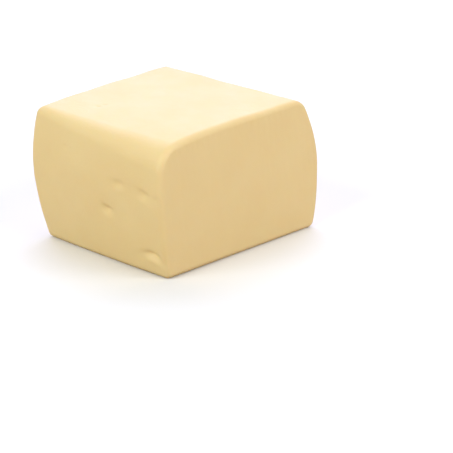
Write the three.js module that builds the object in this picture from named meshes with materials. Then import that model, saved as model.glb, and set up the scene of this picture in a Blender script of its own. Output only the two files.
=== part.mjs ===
// Half of a rindless, brick-shaped cheese loaf. Five of its faces were pressed in a mould and
// bulge a little. The sixth is flat, because the loaf was cut across there.
//
// The block is one closed surface. Each face says how far a point stands outside it, and the six
// are joined, with a round edge wherever two of them meet, into one measure of how far the point
// is outside the cheese. The surface is where that measure is zero. The mesh is the net of a
// sharp-edged block whose points have slid along the lines to its middle until they meet it.
//
// Frame: millimetres, +Z up. The origin is under the middle of the block, in the plane of the
// resting face. +X points out of the cut face, and +Y runs along it, from the front side to the
// rear side.

import * as THREE from 'three';
import { mergeVertices } from 'three/addons/utils/BufferGeometryUtils.js';

// Size over the widest places.
const DEPTH = 144;   // X, from the moulded end to the cut face
const WIDTH = 164;   // Y, across the loaf, from the front side to the rear side
const HEIGHT = 100;  // Z, from the resting face to the highest point of the top

// Radius of each kind of edge.
const CORNER_RADIUS = 4;                        // upright edges between two moulded sides
const END_TOP_RADIUS = 2.5;                     // between the top and the moulded end
const FRONT_TOP_RADIUS = { end: 4, cut: 17 };   // between the top and the front side
const REAR_TOP_RADIUS = { end: 10, cut: 6.5 };  // between the top and the rear side
const END_REACH = 0.8;                          // the top's edge tightens from here to the end
const BOTTOM_RADIUS = 4;                        // around the resting face
const CUT_RADIUS = { front: 5, rear: 3.5 };     // around the cut face

// The top sinks this far towards the corner of the front side and the cut face.
const TOP_FALL = 4.9;
const TOP_FALL_FROM = -0.2;  // where the fall starts, along Y from -1 to 1

// Each moulded side falls back from its widest place: by bow, in plan, one half-length of the side
// away from bowAt, by shoulder at the top edge, and by tuck at the resting face. The powers bend the
// upper and lower half: 1 is a straight slope, 2 is a belly, 4 keeps most of the fall to the edge.
const MOULDED_END = {
  bow: 2.3, bowAt: 1, widest: 46, shoulder: 7.3, shoulderPower: 2, tuck: 10, tuckPower: 1.3,
};
const FRONT_SIDE = {
  bow: 1.4, bowAt: 1, widest: 66, shoulder: 2.3, shoulderPower: 4, tuck: 8, tuckPower: 1.3,
};
const REAR_SIDE = {
  bow: 0.2, bowAt: 0.8, widest: 47, shoulder: 18.3, shoulderPower: 1.8, tuck: 5.4, tuckPower: 3.4,
};

// Box net: how many quads lie along each edge, and how much they crowd towards the edges.
const NET = { x: 16, y: 18, z: 12 };
const EDGE_CROWDING = 0.55;

// Bounds of the search along each line from the middle, where 1 is on the sharp-edged block.
const NEAREST = 0.5;
const FARTHEST = 1.5;
const HALVINGS = 40;
const GRID = 1e4;  // points are rounded to 1 / GRID mm

const HALF = new THREE.Vector3(DEPTH, WIDTH, HEIGHT).multiplyScalar(0.5);
const MIDDLE = new THREE.Vector3(0, 0, HALF.z);

// How far a moulded side stands back at a place along its length (-1 to 1) and a height z.
function fallBack(side, along, z) {
  const above = Math.max(z - side.widest, 0) / (HEIGHT - side.widest);
  const below = Math.max(side.widest - z, 0) / side.widest;
  return side.bow * (along - side.bowAt) ** 2
    + side.shoulder * above ** side.shoulderPower
    + side.tuck * below ** side.tuckPower;
}

// How far the top has sunk, more towards the cut face and with the square of the way to the front.
function topFall(u, v) {
  const near = Math.max(TOP_FALL_FROM - v, 0) / (TOP_FALL_FROM + 1);
  return TOP_FALL * (u + 1) / 2 * near ** 2;
}

// Where each face stands. u and v are places along X and Y, from -1 to 1. The resting face is z = 0,
// and the cut face is x = HALF.x.
const faces = {
  end: (v, z) => -HALF.x + fallBack(MOULDED_END, v, z),
  front: (u, z) => -HALF.y + fallBack(FRONT_SIDE, u, z),
  rear: (u, z) => HALF.y - fallBack(REAR_SIDE, u, z),
  top: (u, v) => HEIGHT - topFall(u, v),
};

// Joins two distances into one. Where both faces are nearer than the radius, the edge is an arc.
function roundJoin(a, b, radius) {
  const arc = Math.hypot(Math.max(a + radius, 0), Math.max(b + radius, 0));
  return Math.min(Math.max(a, b), -radius) + arc;
}

// Share of the way from -1 to 1, held between 0 and 1.
function share(place) {
  return THREE.MathUtils.clamp((place + 1) / 2, 0, 1);
}

// Radius of the edge around the top. The front's and the rear's change along X, and just before
// the moulded end they ease to the end's.
function topRadius(u, v) {
  const { lerp, smoothstep } = THREE.MathUtils;
  const front = lerp(FRONT_TOP_RADIUS.end, FRONT_TOP_RADIUS.cut, share(u));
  const rear = lerp(REAR_TOP_RADIUS.end, REAR_TOP_RADIUS.cut, share(u));
  const along = lerp(front, rear, share(v));
  return lerp(END_TOP_RADIUS, along, smoothstep(u, -1, -END_REACH));
}

// How far a point is outside the cheese. It is negative inside.
function outside({ x, y, z }) {
  const u = x / HALF.x;
  const v = y / HALF.y;
  const corner = roundJoin(faces.end(v, z) - x, faces.front(u, z) - y, CORNER_RADIUS);
  const sides = roundJoin(corner, y - faces.rear(u, z), CORNER_RADIUS);
  const upper = roundJoin(sides, z - faces.top(u, v), topRadius(u, v));
  const moulded = roundJoin(upper, -z, BOTTOM_RADIUS);
  const cutRadius = THREE.MathUtils.lerp(CUT_RADIUS.front, CUT_RADIUS.rear, share(v));
  return roundJoin(moulded, x - HALF.x, cutRadius);
}

// A point of the box net, -1 to 1 each way, laid out on the block as it would be with sharp edges.
function sharpPoint(netPoint) {
  const [u, v, w] = netPoint.toArray().map((t) => t + EDGE_CROWDING * Math.sin(Math.PI * t) / Math.PI);
  const { mapLinear } = THREE.MathUtils;
  const z = mapLinear(w, -1, 1, 0, faces.top(u, v));
  const x = mapLinear(u, -1, 1, faces.end(v, z), HALF.x);
  const y = mapLinear(v, -1, 1, faces.front(u, z), faces.rear(u, z));
  return new THREE.Vector3(x, y, z);
}

// Slides that point along its line from the middle of the block until it meets the rounded surface.
function ontoSurface(netPoint) {
  const line = sharpPoint(netPoint).sub(MIDDLE);
  let near = NEAREST;
  let far = FARTHEST;
  for (let i = 0; i < HALVINGS; i += 1) {
    const halfway = (near + far) / 2;
    if (outside(MIDDLE.clone().addScaledVector(line, halfway)) < 0) near = halfway;
    else far = halfway;
  }
  return MIDDLE.clone().addScaledVector(line, near).multiplyScalar(GRID).round().divideScalar(GRID);
}

function blockGeometry() {
  const box = new THREE.BoxGeometry(2, 2, 2, NET.x, NET.y, NET.z);
  box.deleteAttribute('normal');
  box.deleteAttribute('uv');
  const geometry = mergeVertices(box);
  const points = geometry.attributes.position;
  const point = new THREE.Vector3();
  for (let i = 0; i < points.count; i += 1) {
    point.copy(ontoSurface(point.fromBufferAttribute(points, i)));
    points.setXYZ(i, point.x, point.y, point.z);
  }
  geometry.computeVertexNormals();
  return geometry;
}

const cheeseMaterial = new THREE.MeshStandardMaterial({ color: 0xf3e2b4, roughness: 0.45, metalness: 0 });

const cheeseBlock = new THREE.Mesh(blockGeometry(), cheeseMaterial);
cheeseBlock.name = 'cheese_block';

const cheese = new THREE.Group();
cheese.add(cheeseBlock);

export default cheese;
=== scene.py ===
# Half of a rindless, brick-shaped cheese on a pale floor, under soft light.
#
# The cheese is one mesh. Its six faces are first laid out as a block with sharp edges, then the
# edges are rounded, and last a relief of dents, a fold and low swells is pressed into it. The shape
# is worked out in millimetres, and its mesh is put down in metres.
import math
from collections import namedtuple

import bpy
import numpy as np
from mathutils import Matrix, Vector


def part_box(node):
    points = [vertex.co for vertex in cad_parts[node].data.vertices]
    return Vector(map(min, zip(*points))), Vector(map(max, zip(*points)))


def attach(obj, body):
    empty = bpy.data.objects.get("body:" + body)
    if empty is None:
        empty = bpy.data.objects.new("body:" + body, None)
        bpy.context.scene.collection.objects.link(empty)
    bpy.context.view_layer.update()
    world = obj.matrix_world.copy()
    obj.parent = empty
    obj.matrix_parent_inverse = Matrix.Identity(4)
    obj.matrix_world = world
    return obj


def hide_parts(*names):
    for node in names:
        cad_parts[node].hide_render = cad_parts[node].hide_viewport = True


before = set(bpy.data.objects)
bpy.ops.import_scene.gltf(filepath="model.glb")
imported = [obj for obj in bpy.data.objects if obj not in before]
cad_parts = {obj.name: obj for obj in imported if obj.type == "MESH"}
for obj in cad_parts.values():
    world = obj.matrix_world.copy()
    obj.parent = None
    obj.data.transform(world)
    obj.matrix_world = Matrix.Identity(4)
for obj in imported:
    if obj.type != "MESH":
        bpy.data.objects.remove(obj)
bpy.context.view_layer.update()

MM = 0.001
block_low, block_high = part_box("cheese_block")
DEPTH, WIDTH, HEIGHT = (block_high - block_low) / MM
HALF = np.array([DEPTH, WIDTH, HEIGHT]) / 2
MIDDLE = np.array([0.0, 0.0, HEIGHT / 2])

# ---------------------------------------------------------------- the block's six faces

CORNER_RADIUS = 4.0            # upright edges between two moulded sides
END_TOP_RADIUS = 2.5           # between the top and the moulded end
FRONT_TOP_RADII = (4.0, 17.0)  # between the top and the front side, at the end and at the cut
REAR_TOP_RADII = (10.0, 6.5)   # between the top and the rear side, at the end and at the cut
END_REACH = 0.8                # the top's edge tightens from here to the moulded end, along X
BOTTOM_RADIUS = 4.0            # around the resting face
CUT_RADII = (5.0, 3.5)         # around the cut face, at the front and at the rear

# The top sinks this far towards the corner of the front side and the cut face.
TOP_FALL = 4.9
TOP_FALL_FROM = -0.2  # where the fall starts, along Y from -1 to 1

# A moulded side falls back from its widest place: by bow, in plan, one half-length away from
# bow_at, by shoulder at the top edge, and by tuck at the resting face. The powers bend the upper
# and lower half: 1 is a straight slope, 2 is a belly, and 4 keeps most of the fall to the edge.
Side = namedtuple("Side", "bow bow_at widest shoulder shoulder_power tuck tuck_power")
MOULDED_END = Side(2.3, 1.0, 46, shoulder=7.3, shoulder_power=2, tuck=10.0, tuck_power=1.3)
FRONT_SIDE = Side(1.4, 1.0, 66, shoulder=2.3, shoulder_power=4, tuck=8.0, tuck_power=1.3)
REAR_SIDE = Side(0.2, 0.8, 47, shoulder=18.3, shoulder_power=1.8, tuck=5.4, tuck_power=3.4)


def smoothstep(start, end, value):
    """Share of the way from start to end, eased: 3t^2 - 2t^3 with t held between 0 and 1."""
    t = np.clip((value - start) / (end - start), 0.0, 1.0)
    return t * t * (3.0 - 2.0 * t)


def fall_back(side, along, z):
    """How far a moulded side stands back: bow * (along - bow_at)^2
    + shoulder * above^shoulder_power + tuck * below^tuck_power. above and below run from 0 at
    the widest height to 1 at the top and at the resting face."""
    above = np.maximum(z - side.widest, 0) / (HEIGHT - side.widest)
    below = np.maximum(side.widest - z, 0) / side.widest
    return (
        side.bow * (along - side.bow_at) ** 2
        + side.shoulder * above ** side.shoulder_power
        + side.tuck * below ** side.tuck_power
    )


def end_x(v, z):
    return -HALF[0] + fall_back(MOULDED_END, v, z)


def front_y(u, z):
    return -HALF[1] + fall_back(FRONT_SIDE, u, z)


def rear_y(u, z):
    return HALF[1] - fall_back(REAR_SIDE, u, z)


def top_z(u, v):
    """HEIGHT, less TOP_FALL * across * near^2: across grows from the moulded end to the cut, and
    near from TOP_FALL_FROM to the front side."""
    across = (u + 1) / 2
    near = np.maximum(TOP_FALL_FROM - v, 0) / (TOP_FALL_FROM + 1)
    return HEIGHT - TOP_FALL * across * near ** 2


def top_radius(u, v):
    """Radius around the top: the front's and the rear's change in proportion to u, and between
    them in proportion to v. It eases to END_TOP_RADIUS just before the moulded end."""
    front = np.interp(u, (-1, 1), FRONT_TOP_RADII)
    rear = np.interp(u, (-1, 1), REAR_TOP_RADII)
    along = front + (rear - front) * np.clip((v + 1) / 2, 0, 1)
    return END_TOP_RADIUS + (along - END_TOP_RADIUS) * smoothstep(-1, -END_REACH, u)


def round_join(a, b, radius):
    """The larger of two distances, except where both are over -radius. There the edge is an
    arc: the length of (a + radius, b + radius), less radius."""
    arc = np.hypot(np.maximum(a + radius, 0), np.maximum(b + radius, 0))
    return np.minimum(np.maximum(a, b), -radius) + arc


def outside(points):
    """How far points are outside the rounded block, in mm, and negative inside it: the
    distances past its six faces, joined one after another with round_join."""
    x, y, z = points.T
    u, v = x / HALF[0], y / HALF[1]
    corner = round_join(end_x(v, z) - x, front_y(u, z) - y, CORNER_RADIUS)
    sides = round_join(corner, y - rear_y(u, z), CORNER_RADIUS)
    upper = round_join(sides, z - top_z(u, v), top_radius(u, v))
    moulded = round_join(upper, -z, BOTTOM_RADIUS)
    return round_join(moulded, x - HALF[0], np.interp(v, (-1, 1), CUT_RADII))


# ---------------------------------------------------------------- the mesh net

NET = (136, 152, 96)          # quads along X, Y and Z
EDGE_CROWDING = 0.3           # how much they crowd towards the edges
NEAREST, FARTHEST = 0.5, 1.5  # the search along each line, where 1 is on the sharp-edged block
HALVINGS = 40
SLOPE_STEP = 0.05             # for the normals, in mm


def net_steps(count):
    """Places from -1 to 1: t + crowding * sin(pi t) / pi, closer together at both ends."""
    t = np.linspace(-1, 1, count + 1)
    return t + EDGE_CROWDING * np.sin(math.pi * t) / math.pi


def box_net():
    """Points and quads of a closed box from -1 to 1. Each of the six faces is a grid of two
    parameters, and points that faces share are merged."""
    points, quads, first = [], [], 0
    for axis in range(3):
        across, up = (axis + 1) % 3, (axis + 2) % 3
        for side in (-1, 1):
            a, b = np.meshgrid(net_steps(NET[across]), net_steps(NET[up]), indexing="ij")
            sheet = np.empty(a.shape + (3,))
            sheet[..., axis], sheet[..., across], sheet[..., up] = side, a, b
            index = first + np.arange(a.size).reshape(a.shape)
            corners = [index[:-1, :-1], index[1:, :-1], index[1:, 1:], index[:-1, 1:]]
            quads.append(np.stack(corners[::side], axis=-1).reshape(-1, 4))
            points.append(sheet.reshape(-1, 3))
            first += a.size
    points = np.concatenate(points)
    rounded = np.round(points, 6)
    _, kept, same_as = np.unique(rounded, axis=0, return_index=True, return_inverse=True)
    return points[kept], same_as.reshape(-1)[np.concatenate(quads)]


def sharp_block(net):
    """The net laid out between the faces: each point is the same share of the way across."""
    u, v, w = net.T
    z = (w + 1) / 2 * top_z(u, v)
    x = end_x(v, z) + (u + 1) / 2 * (HALF[0] - end_x(v, z))
    y = front_y(u, z) + (v + 1) / 2 * (rear_y(u, z) - front_y(u, z))
    return np.stack([x, y, z], axis=-1)


def rounded_block(net):
    """Each point of the sharp block slid along its line to the middle until outside() is 0,
    found by halving the stretch that holds it."""
    lines = sharp_block(net) - MIDDLE
    near = np.full(len(lines), NEAREST)
    far = np.full(len(lines), FARTHEST)
    for _ in range(HALVINGS):
        halfway = (near + far) / 2
        inside = outside(MIDDLE + halfway[:, None] * lines) < 0
        near = np.where(inside, halfway, near)
        far = np.where(inside, far, halfway)
    return MIDDLE + near[:, None] * lines


def outward(points):
    """Unit normals of the rounded block: the slope of outside() over a short step each way."""
    steps = SLOPE_STEP * np.eye(3)
    slope = np.stack([outside(points + step) - outside(points - step) for step in steps], axis=-1)
    return slope / np.linalg.norm(slope, axis=-1, keepdims=True)


# ---------------------------------------------------------------- the relief

# Each dented side's flat coordinates: which way it faces, which way is along it, which way is up.
View = namedtuple("View", "faces along up")
VIEWS = {
    "front": View((0, -1, 0), (1, 0, 0), (0, 0, 1)),
    "rear": View((0, 1, 0), (-1, 0, 0), (0, 0, 1)),
    "end": View((-1, 0, 0), (0, -1, 0), (0, 0, 1)),
    "top": View((0, 0, 1), (1, 0, 0), (0, 1, 0)),
}

# A dent: its deepest point along and up its side, its half-length, how far it reaches above and
# below, how far its length is turned from level, its depth, and how much its length is arched,
# per mm. All in mm and degrees. A depth below zero is a low mound, the raised lip under a dent.
# The last dent and lip on the front are a fold of skin near the foot.
Dent = namedtuple("Dent", "side along up length above below turn depth arch")
DENTS = (
    Dent("front", 30.0, 62.9, 6.8, 3.0, 5.6, 5, 1.8, 0.0),
    Dent("front", 54.8, 60.6, 7.2, 3.2, 6.8, -14, 2.0, 0.0),
    Dent("front", 16.4, 40.4, 6.4, 3.0, 5.8, -7, 2.5, 0.0),
    Dent("front", 67.0, 59.4, 2.8, 1.8, 2.6, 0, 0.7, 0.0),
    Dent("front", -23.4, 77.5, 3.0, 1.8, 2.6, 10, 0.5, 0.0),
    Dent("front", 36.0, 41.0, 5.0, 3.0, 4.0, 15, 0.35, 0.0),
    Dent("front", 30.0, 58.2, 5.0, 3.0, 3.2, 5, -0.4, 0.0),
    Dent("front", 53.6, 55.0, 5.4, 3.2, 3.4, -14, -0.5, 0.0),
    Dent("front", 16.2, 35.2, 5.0, 3.0, 3.2, -7, -0.4, 0.0),
    Dent("front", 58.6, 16.2, 9.0, 2.2, 4.6, -8, 3.2, 0.025),
    Dent("front", 57.4, 11.4, 8.0, 2.6, 3.0, -10, -1.0, 0.015),
    Dent("top", -23.2, -47.1, 2.6, 1.8, 2.2, 30, 0.7, 0.0),
    Dent("top", -22.4, -41.6, 2.0, 2.4, 2.4, 0, 0.6, 0.0),
    Dent("rear", -30.0, 52.0, 6.6, 3.0, 5.6, 12, 1.8, 0.0),
    Dent("rear", 12.0, 37.0, 5.6, 2.8, 4.8, -15, 1.4, 0.0),
    Dent("rear", 38.0, 58.0, 7.6, 3.2, 6.4, 20, 2.2, 0.01),
    Dent("end", -28.0, 47.0, 6.8, 3.2, 5.8, -14, 2.0, 0.0),
    Dent("end", 24.0, 63.0, 5.4, 2.6, 4.6, 10, 1.4, 0.0),
    Dent("end", 41.0, 34.0, 4.2, 2.2, 3.6, 0, 1.0, 0.0),
)


# How squarely the surface must face its side's way for a dent to start, and to be at its full.
FACING_FROM, FACING_TO = 0.35, 0.75


def on_side(points, normals, view):
    """Places along and up a side, and how squarely the surface faces its way, from 0 to 1."""
    facing = smoothstep(FACING_FROM, FACING_TO, normals @ np.array(view.faces, float))
    return points @ np.array(view.along, float), points @ np.array(view.up, float), facing


def dent_relief(points, normals):
    """Sum of the dents, each -depth / (1 + d^2)^2. d is the distance from the deepest point, in
    half-lengths along the arched length and in reaches above or below it."""
    relief = np.zeros(len(points))
    for dent in DENTS:
        along, up, facing = on_side(points, normals, VIEWS[dent.side])
        turn = math.radians(dent.turn)
        right, rise = along - dent.along, up - dent.up
        lengthways = right * math.cos(turn) + rise * math.sin(turn)
        crossways = rise * math.cos(turn) - right * math.sin(turn) + dent.arch * lengthways ** 2
        reach = np.where(crossways > 0, dent.above, dent.below)
        squared = (lengthways / dent.length) ** 2 + (crossways / reach) ** 2
        relief -= dent.depth * facing / (1 + squared) ** 2
    return relief


# Low swells all over the moulded faces, and fainter drag marks of the knife on the cut face.
SWELL_SEED = 7
SWELLS = 14
SWELL_LENGTHS = (22.0, 70.0)
SWELL_HEIGHT = 0.2
DRAG_SEED = 11
DRAGS = 5
DRAG_SPACING = (5.0, 14.0)
DRAG_HEIGHT = 0.012
DRAG_SLANT = 0.12


def swell_relief(points):
    """Sum of sine waves of random direction, length and phase, all of one height."""
    rng = np.random.default_rng(SWELL_SEED)
    relief = np.zeros(len(points))
    for _ in range(SWELLS):
        way = rng.normal(size=3)
        way /= np.linalg.norm(way)
        length = rng.uniform(*SWELL_LENGTHS)
        relief += np.sin(points @ way * 2 * math.pi / length + rng.uniform(0, 2 * math.pi))
    return SWELL_HEIGHT * relief / math.sqrt(SWELLS)


def drag_relief(points):
    """Sum of sine waves across the knife's path, which runs down the cut face on a slant."""
    rng = np.random.default_rng(DRAG_SEED)
    across = points[:, 1] + DRAG_SLANT * points[:, 2]
    relief = np.zeros(len(points))
    for _ in range(DRAGS):
        spacing = rng.uniform(*DRAG_SPACING)
        relief += np.sin(across * 2 * math.pi / spacing + rng.uniform(0, 2 * math.pi))
    return DRAG_HEIGHT * relief


CUT_EDGE_FROM, CUT_EDGE_TO = 0.2, 3.0  # how far behind the cut face its look gives way to skin


def cut_share(points):
    """1 on the cut face, easing to 0 over the edge that the knife left."""
    return 1 - smoothstep(CUT_EDGE_FROM, CUT_EDGE_TO, HALF[0] - points[:, 0])


def rest_share(points):
    """0 on the resting face, which stays flat, easing to 1 above it."""
    return smoothstep(0.0, BOTTOM_RADIUS, points[:, 2])


def pressed(points):
    """The rounded block with its relief, each point moved along its own normal."""
    normals = outward(points)
    cut = cut_share(points)
    moulded = swell_relief(points) + dent_relief(points, normals)
    relief = (moulded * (1 - cut) + drag_relief(points) * cut) * rest_share(points)
    return points + relief[:, None] * normals


def cheese_mesh():
    """The closed mesh, smooth shaded, with the point attribute cut_face for its material."""
    net, quads = box_net()
    block = rounded_block(net)
    points = pressed(block)
    mesh = bpy.data.meshes.new("cheese")
    mesh.from_pydata((points * MM).tolist(), [], quads.tolist())
    mesh.shade_smooth()
    mesh.attributes.new("cut_face", "FLOAT", "POINT").data.foreach_set("value", cut_share(block))
    mesh.update()
    return mesh


# ---------------------------------------------------------------- materials


def add_node(tree, kind, values=None, **settings):
    """A node with its settings and the default values of its named inputs."""
    node = tree.nodes.new(kind)
    for name, value in settings.items():
        setattr(node, name, value)
    for name, value in (values or {}).items():
        node.inputs[name].default_value = value
    return node


NOISE_ROUGHNESS = 0.55
NOISE_LEAST, NOISE_MOST = 0.3, 0.7  # nearly all of the noise lies between these


def mottle_group():
    """Node group: soft noise of a given size in metres, spread between Low and High."""
    group = bpy.data.node_groups.new("mottle", "ShaderNodeTree")
    sockets = (
        ("Vector", "INPUT", "NodeSocketVector", None),
        ("Size", "INPUT", "NodeSocketFloat", 0.01),
        ("Detail", "INPUT", "NodeSocketFloat", 2.0),
        ("Low", "INPUT", "NodeSocketFloat", 0.0),
        ("High", "INPUT", "NodeSocketFloat", 1.0),
        ("Value", "OUTPUT", "NodeSocketFloat", None),
    )
    for name, way, kind, value in sockets:
        socket = group.interface.new_socket(name, in_out=way, socket_type=kind)
        if value is not None:
            socket.default_value = value
    given = add_node(group, "NodeGroupInput")
    made = add_node(group, "NodeGroupOutput")
    scale = add_node(group, "ShaderNodeMath", {0: 1.0}, operation="DIVIDE")
    noise = add_node(group, "ShaderNodeTexNoise", {"Roughness": NOISE_ROUGHNESS})
    bounds = {"From Min": NOISE_LEAST, "From Max": NOISE_MOST}
    spread = add_node(group, "ShaderNodeMapRange", bounds)
    link = group.links.new
    link(given.outputs["Size"], scale.inputs[1])
    link(given.outputs["Vector"], noise.inputs["Vector"])
    link(given.outputs["Detail"], noise.inputs["Detail"])
    link(scale.outputs["Value"], noise.inputs["Scale"])
    link(noise.outputs["Fac"], spread.inputs["Value"])
    link(given.outputs["Low"], spread.inputs["To Min"])
    link(given.outputs["High"], spread.inputs["To Max"])
    link(spread.outputs["Result"], made.inputs["Value"])
    return group


# Inputs and output of a Mix node for colours, which share their names with those for numbers.
MIX_FACTOR, MIX_FIRST, MIX_SECOND = 0, 6, 7
MIX_RESULT = 2

SKIN_COLOUR = (0.885, 0.69, 0.345, 1.0)
SKIN_DEEP_COLOUR = (0.87, 0.665, 0.32, 1.0)
CUT_COLOUR = (0.89, 0.69, 0.35, 1.0)
CUT_DEEP_COLOUR = (0.88, 0.67, 0.33, 1.0)
SCATTER_WEIGHT = 0.4
SCATTER_RADII = (1.0, 0.75, 0.42)  # for red, green and blue, times SCATTER_SCALE
SCATTER_SCALE = 2 * MM
CHEESE_IOR = 1.45
PATCH_SIZE = 35 * MM
SHEEN_SIZE = 12 * MM
SMOOTHEST, ROUGHEST = 0.40, 0.52
CUT_ROUGHER = 0.04
GRAIN_SIZE, GRAIN_DETAIL = 2.2 * MM, 3.0
PEBBLE_SIZE, PEBBLE_HEIGHT = 9 * MM, 2.0  # the height is in grains
BUMP_STRENGTH, BUMP_HEIGHT = 0.25, 0.2 * MM


def cheese_material(mottle):
    """Ivory cheese: broad patches of a deeper tone, a slightly yellower moulded skin than cut
    face, fine curd grain, and light that enters and spreads a few millimetres."""
    material = bpy.data.materials.new("ivory_cheese")
    material.use_nodes = True
    tree = material.node_tree
    link = tree.links.new
    shader = tree.nodes["Principled BSDF"]
    shader.inputs["Subsurface Weight"].default_value = SCATTER_WEIGHT
    shader.inputs["Subsurface Radius"].default_value = SCATTER_RADII
    shader.inputs["Subsurface Scale"].default_value = SCATTER_SCALE
    shader.inputs["IOR"].default_value = CHEESE_IOR
    place = add_node(tree, "ShaderNodeTexCoord").outputs["Object"]

    def give(node, values):
        for name, value in values.items():
            if isinstance(value, bpy.types.NodeSocket):
                link(value, node.inputs[name])
            else:
                node.inputs[name].default_value = value

    def mottled(size, low, high, detail=2.0):
        node = add_node(tree, "ShaderNodeGroup", node_tree=mottle)
        give(node, {"Vector": place, "Size": size, "Detail": detail, "Low": low, "High": high})
        return node.outputs["Value"]

    def mixed(factor, first, second):
        node = add_node(tree, "ShaderNodeMix", data_type="RGBA")
        give(node, {MIX_FACTOR: factor, MIX_FIRST: first, MIX_SECOND: second})
        return node.outputs[MIX_RESULT]

    def maths(operation, first, second):
        node = add_node(tree, "ShaderNodeMath", operation=operation)
        give(node, {0: first, 1: second})
        return node.outputs["Value"]

    cut = add_node(tree, "ShaderNodeAttribute", attribute_name="cut_face").outputs["Fac"]
    patches = mottled(PATCH_SIZE, 0.0, 1.0)
    skin = mixed(patches, SKIN_COLOUR, SKIN_DEEP_COLOUR)
    inner = mixed(patches, CUT_COLOUR, CUT_DEEP_COLOUR)
    tone = mixed(cut, skin, inner)
    link(tone, shader.inputs["Base Color"])

    sheen = mottled(SHEEN_SIZE, SMOOTHEST, ROUGHEST)
    link(maths("ADD", sheen, maths("MULTIPLY", cut, CUT_ROUGHER)), shader.inputs["Roughness"])

    grain = mottled(GRAIN_SIZE, 0.0, 1.0, GRAIN_DETAIL)
    relief = maths("ADD", grain, mottled(PEBBLE_SIZE, 0.0, PEBBLE_HEIGHT))
    bump = add_node(tree, "ShaderNodeBump", {"Strength": BUMP_STRENGTH, "Distance": BUMP_HEIGHT})
    link(relief, bump.inputs["Height"])
    link(bump.outputs["Normal"], shader.inputs["Normal"])
    return material


FLOOR_COLOUR = (0.97, 0.97, 0.97, 1.0)
FLOOR_BOUNCE_COLOUR = (0.50, 0.43, 0.36, 1.0)  # what the floor throws back on the cheese
FLOOR_MOTTLE = {"Size": 80 * MM, "Low": 0.7, "High": 0.8}  # of its roughness


def floor_material(mottle):
    """Pale matte paper with a very faint unevenness. The light that it throws back is duller and
    warmer than the paper looks, so that the dents and the foot of the cheese keep their shade."""
    material = bpy.data.materials.new("pale_floor")
    material.use_nodes = True
    tree = material.node_tree
    link = tree.links.new
    shader = tree.nodes["Principled BSDF"]
    seen = add_node(tree, "ShaderNodeLightPath").outputs["Is Camera Ray"]
    colours = {MIX_FIRST: FLOOR_BOUNCE_COLOUR, MIX_SECOND: FLOOR_COLOUR}
    colour = add_node(tree, "ShaderNodeMix", colours, data_type="RGBA")
    link(seen, colour.inputs[MIX_FACTOR])
    link(colour.outputs[MIX_RESULT], shader.inputs["Base Color"])
    place = add_node(tree, "ShaderNodeTexCoord").outputs["Object"]
    uneven = add_node(tree, "ShaderNodeGroup", FLOOR_MOTTLE, node_tree=mottle)
    link(place, uneven.inputs["Vector"])
    link(uneven.outputs["Value"], shader.inputs["Roughness"])
    return material


# ---------------------------------------------------------------- camera, floor and light

# Turns go round from the front side towards the cut face, and rises go up from level. Both are in
# degrees, and distances and sizes are in metres unless they end in MM.
CAMERA_TURN = 43.14
CAMERA_RISE = 19.88
CAMERA_DISTANCE = 1.820
CAMERA_AIM = Vector((27.3, 31.5, 1.0)) * MM
CAMERA_LENS = 198.7  # focal length in mm
CAMERA_REACH = 50.0  # it sees the floor to its far edge
BLOCK_CENTRE = Vector((0, 0, HEIGHT / 2)) * MM
FLOOR_SIZE = 12.0

# Square softboxes that face the block's centre.
Softbox = namedtuple("Softbox", "name turn rise distance size watts colour")
SOFTBOXES = (
    Softbox("front_softbox", -5, 31, 1.8, 1.2, 19.8, (0.96, 1.0, 0.98)),
    Softbox("cut_softbox", 104, 31, 1.7, 1.2, 16.2, (1.0, 1.0, 0.99)),
    Softbox("back_softbox", 223, 38, 1.7, 2.2, 35.0, (0.74, 0.74, 1.0)),
)
SURROUNDINGS_COLOUR = (0.98, 0.99, 1.0, 1.0)
SURROUNDINGS_STRENGTH = 0.28


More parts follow.
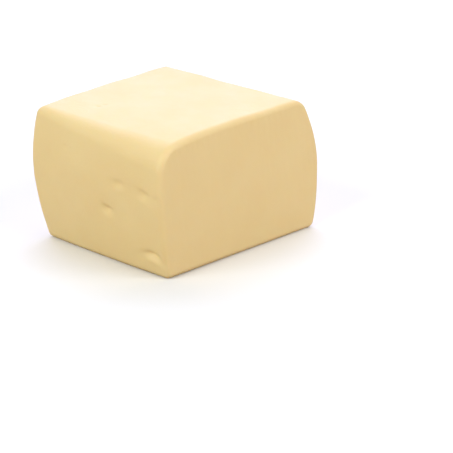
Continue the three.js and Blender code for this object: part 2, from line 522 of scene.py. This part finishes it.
def place_round(centre, turn, rise, distance):
    """The point at a turn, a rise and a distance from a centre."""
    turn, rise = math.radians(turn), math.radians(rise)
    level = Vector((math.sin(turn), -math.cos(turn), 0.0))
    return centre + distance * (math.cos(rise) * level + math.sin(rise) * Vector((0.0, 0.0, 1.0)))


def look_from(name, data, place, target):
    """A camera or a lamp at a place, turned to look at its target."""
    thing = bpy.data.objects.new(name, data)
    thing.location = place
    thing.rotation_euler = (target - place).to_track_quat("-Z", "Y").to_euler()
    bpy.context.scene.collection.objects.link(thing)
    return thing


def add_camera():
    data = bpy.data.cameras.new("camera")
    data.lens = CAMERA_LENS
    data.clip_end = CAMERA_REACH
    place = place_round(CAMERA_AIM, CAMERA_TURN, CAMERA_RISE, CAMERA_DISTANCE)
    bpy.context.scene.camera = look_from("camera", data, place, CAMERA_AIM)


def add_softbox(box):
    data = bpy.data.lights.new(box.name, "AREA")
    data.shape = "SQUARE"
    data.size = box.size
    data.energy = box.watts
    data.color = box.colour
    place = place_round(BLOCK_CENTRE, box.turn, box.rise, box.distance)
    look_from(box.name, data, place, BLOCK_CENTRE)


def add_floor(material):
    mesh = bpy.data.meshes.new("floor")
    half = FLOOR_SIZE / 2
    corners = [(-half, -half, 0), (half, -half, 0), (half, half, 0), (-half, half, 0)]
    mesh.from_pydata(corners, [], [(0, 1, 2, 3)])
    mesh.materials.append(material)
    floor = bpy.data.objects.new("floor", mesh)
    bpy.context.scene.collection.objects.link(floor)


def set_surroundings():
    """Even light from all round."""
    world = bpy.data.worlds.new("surroundings")
    world.use_nodes = True
    background = world.node_tree.nodes["Background"]
    background.inputs["Color"].default_value = SURROUNDINGS_COLOUR
    background.inputs["Strength"].default_value = SURROUNDINGS_STRENGTH
    bpy.context.scene.world = world


# ---------------------------------------------------------------- the scene

add_camera()

mottle = mottle_group()
cheese = bpy.data.objects.new("cheese", cheese_mesh())
cheese.data.materials.append(cheese_material(mottle))
bpy.context.scene.collection.objects.link(cheese)
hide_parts("cheese_block")
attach(cheese, "root")

add_floor(floor_material(mottle))
for box in SOFTBOXES:
    add_softbox(box)
set_surroundings()
bpy.context.scene.view_settings.view_transform = "Standard"
